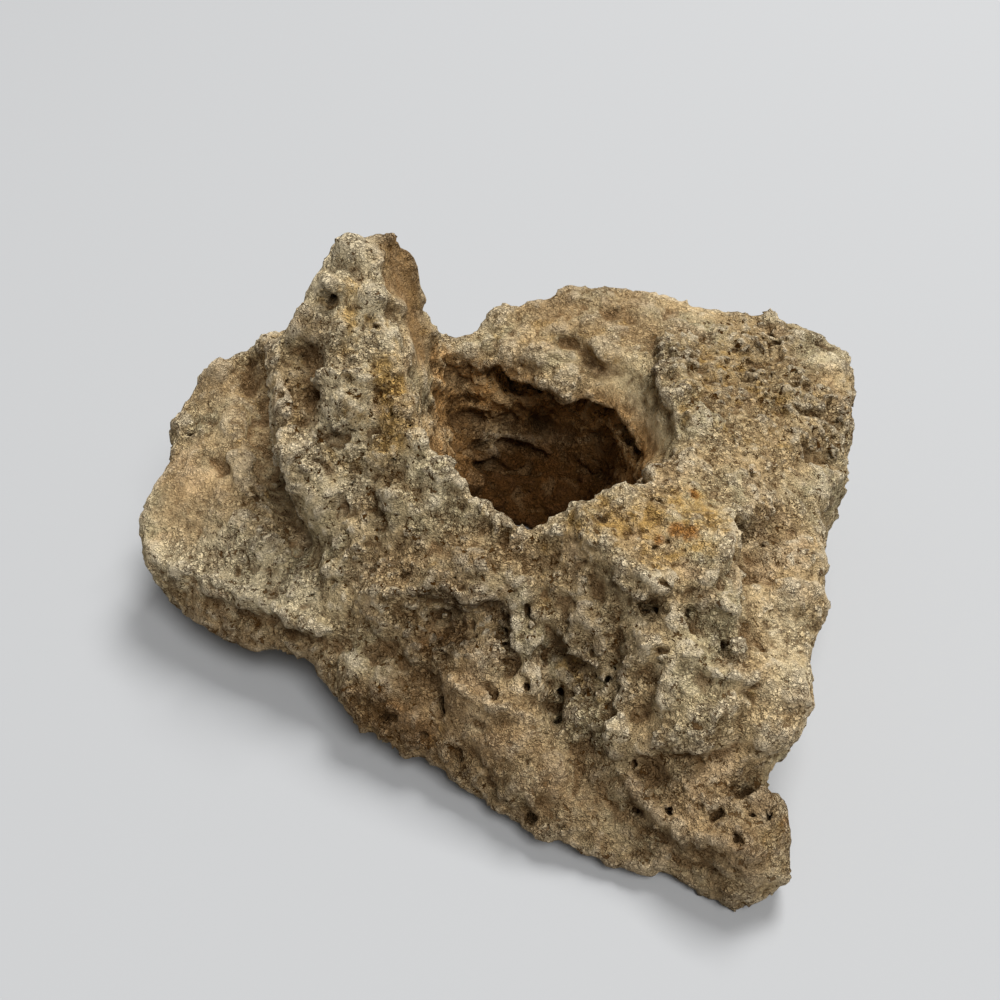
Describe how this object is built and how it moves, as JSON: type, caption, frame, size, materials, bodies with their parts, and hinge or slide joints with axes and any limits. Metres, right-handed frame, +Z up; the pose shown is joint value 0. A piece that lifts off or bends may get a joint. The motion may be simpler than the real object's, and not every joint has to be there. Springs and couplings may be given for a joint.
{
  "type": "fossil coral head",
  "caption": "Weathered block of fossil reef limestone with a leaning peak and a shaft eroded right through it, lying on its worn flat underside.",
  "frame": {"origin": "bottom centre of the bounding box, on the worn underside that the stone rests on", "axes": "+Z up from the resting face, +X along the longest side from the left lobe to the right shoulder, -Y towards the low front corner"},
  "size_m": [0.1966, 0.172, 0.0915],
  "materials": {
    "coral_limestone": "rough, porous and unpolished, tan to grey-brown with ochre stains"
  },
  "bodies": {
    "root": {"coral_head": "coral_limestone"}
  },
  "joints": []
}
